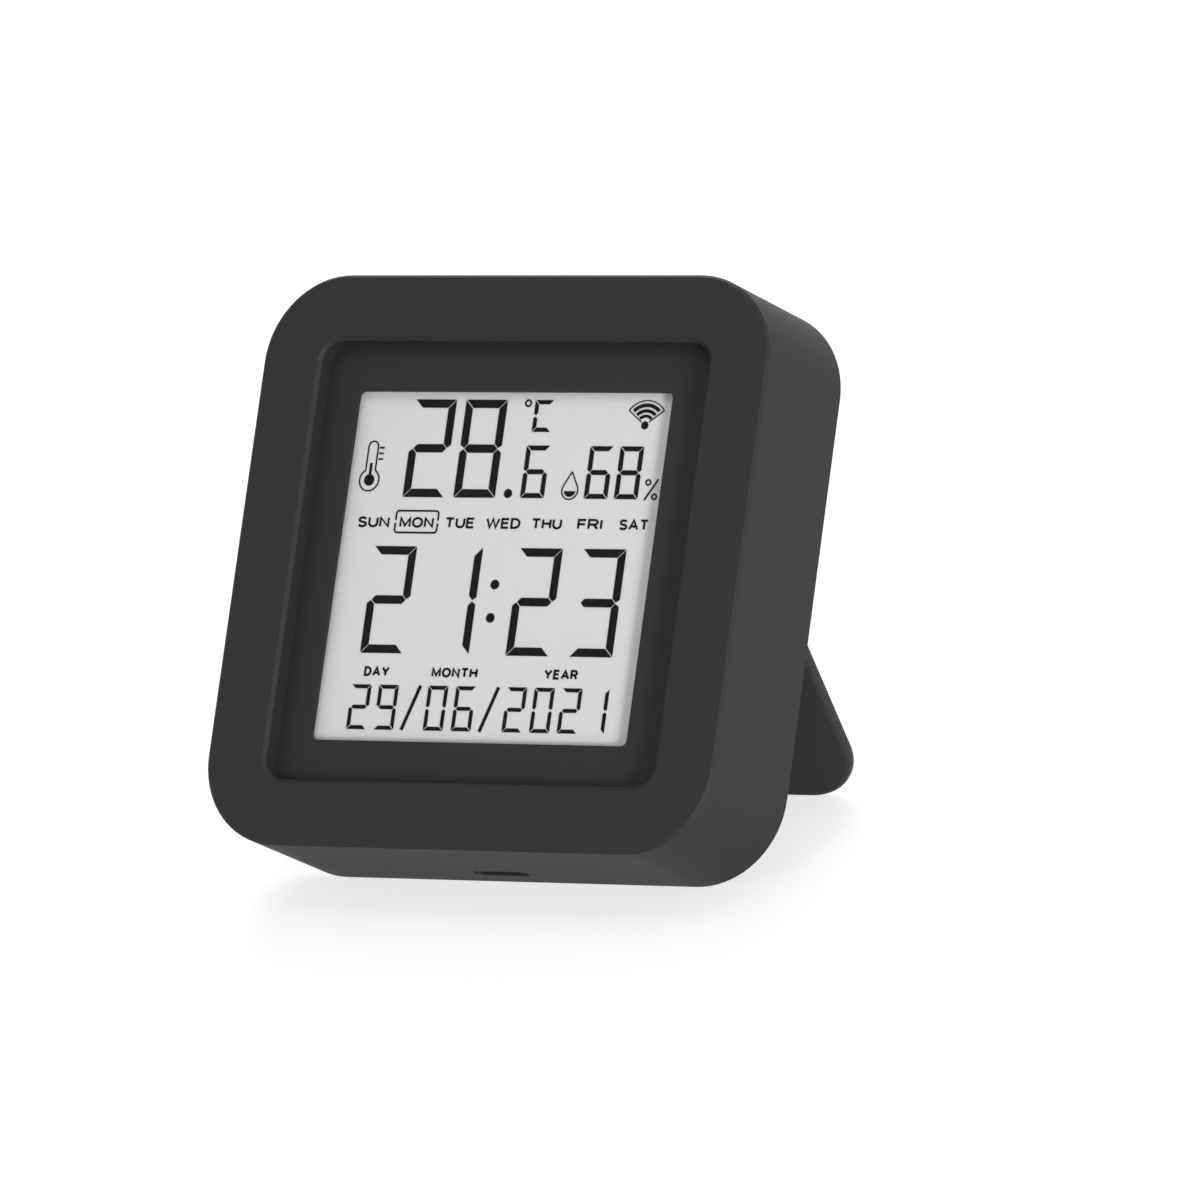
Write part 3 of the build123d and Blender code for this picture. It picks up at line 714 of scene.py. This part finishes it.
WHITE = (1, 1, 1, 1)
FLOOR_REACH = 6.0
FLOOR_COLOR = (0.8, 0.8, 0.8, 1)
FLOOR_SHADED_COLOR = (0.42, 0.42, 0.42, 1)
FLOOR_GLOW = 0.72
WORLD_COLOR = (0.96, 0.97, 1.0, 1)
WORLD_STRENGTH = 0.55
CAMERA_NEAR = 0.01
CAMERA_FAR = 100

# Place in metres, diameter in metres and power in watts of each lamp
LAMPS = {
    "right_lamp": ((0.85, -0.55, 0.06), 0.3, 10.8),
    "upper_lamp": ((0.1, -0.3, 0.9), 0.4, 0.9),
    "rear_lamp": ((-0.25, 0.6, 0.5), 0.5, 3.4),
}


def shown_rays(tree):
    """1 for rays from the camera, a reflection or a clear sheet, else 0."""
    paths = tree.nodes.new("ShaderNodeLightPath")
    total = paths.outputs["Is Camera Ray"]
    for ray in ("Is Glossy Ray", "Is Transmission Ray"):
        either = tree.nodes.new("ShaderNodeMath")
        either.operation = "MAXIMUM"
        tree.links.new(total, either.inputs[0])
        tree.links.new(paths.outputs[ray], either.inputs[1])
        total = either.outputs["Value"]
    return total


def floor_material():
    """White ground that stays white to the camera and keeps the object's soft shadow."""
    material = bpy.data.materials.new("studio_floor")
    material.use_nodes = True
    tree = material.node_tree
    tree.nodes.clear()
    out = tree.nodes.new("ShaderNodeOutputMaterial")
    plain = tree.nodes.new("ShaderNodeBsdfDiffuse")
    plain.inputs["Color"].default_value = FLOOR_COLOR
    lit = tree.nodes.new("ShaderNodeBsdfDiffuse")
    lit.inputs["Color"].default_value = FLOOR_SHADED_COLOR
    glow = tree.nodes.new("ShaderNodeEmission")
    glow.inputs["Strength"].default_value = FLOOR_GLOW
    both = tree.nodes.new("ShaderNodeAddShader")
    tree.links.new(lit.outputs["BSDF"], both.inputs[0])
    tree.links.new(glow.outputs["Emission"], both.inputs[1])
    mix = tree.nodes.new("ShaderNodeMixShader")
    tree.links.new(shown_rays(tree), mix.inputs["Fac"])
    tree.links.new(plain.outputs["BSDF"], mix.inputs[1])
    tree.links.new(both.outputs["Shader"], mix.inputs[2])
    tree.links.new(mix.outputs["Shader"], out.inputs["Surface"])
    return material


def stage():
    data = bpy.data.meshes.new("floor")
    corners = [(x * FLOOR_REACH, y * FLOOR_REACH, 0) for x, y in ((-1, -1), (1, -1), (1, 1), (-1, 1))]
    data.from_pydata(corners, [], [range(len(corners))])
    floor = bpy.data.objects.new("floor", data)
    floor.data.materials.append(floor_material())
    bpy.context.scene.collection.objects.link(floor)


def world_light():
    """Plain surroundings: white where they are seen or reflected, a level pale grey as light."""
    world = bpy.data.worlds.new("studio")
    bpy.context.scene.world = world
    world.use_nodes = True
    tree = world.node_tree
    light = tree.nodes["Background"]
    light.inputs["Color"].default_value = WORLD_COLOR
    light.inputs["Strength"].default_value = WORLD_STRENGTH
    white = tree.nodes.new("ShaderNodeBackground")
    white.inputs["Color"].default_value = WHITE
    mix = tree.nodes.new("ShaderNodeMixShader")
    tree.links.new(shown_rays(tree), mix.inputs["Fac"])
    tree.links.new(light.outputs["Background"], mix.inputs[1])
    tree.links.new(white.outputs["Background"], mix.inputs[2])
    tree.links.new(mix.outputs["Shader"], tree.nodes["World Output"].inputs["Surface"])


def area_light(name, place, aim, size, power):
    data = bpy.data.lights.new(name, "AREA")
    data.shape = "DISK"
    data.size = size
    data.energy = power
    lamp = bpy.data.objects.new(name, data)
    lamp.location = place
    lamp.rotation_euler = (Vector(aim) - Vector(place)).to_track_quat("-Z", "Y").to_euler()
    bpy.context.scene.collection.objects.link(lamp)


def lights():
    middle = on_casing(0, 0, VIEW_MIDDLE)
    for name, (place, size, power) in LAMPS.items():
        area_light(name, place, middle, size, power)


def camera():
    place = on_casing(*CAMERA_PLACE)
    target = on_casing(*CAMERA_TARGET)
    forward = (target - place).normalized()
    right = forward.cross(Casing.upward).normalized()
    up = right.cross(forward)
    turn = math.radians(CAMERA_ROLL)
    across = right * math.cos(turn) + up * math.sin(turn)
    above = up * math.cos(turn) - right * math.sin(turn)
    data = bpy.data.cameras.new("photo_camera")
    data.sensor_width = SENSOR_MM
    data.sensor_fit = "HORIZONTAL"
    data.lens = LENS_MM
    data.clip_start = CAMERA_NEAR
    data.clip_end = CAMERA_FAR
    view = bpy.data.objects.new("photo_camera", data)
    turned = Matrix((across, above, -forward)).transposed().to_4x4()
    view.matrix_world = Matrix.Translation(place) @ turned
    bpy.context.scene.collection.objects.link(view)
    bpy.context.scene.camera = view


bpy.context.scene.view_settings.view_transform = "Standard"
dress_nodes()
display()
recessed_screws()
stage()
world_light()
lights()
camera()
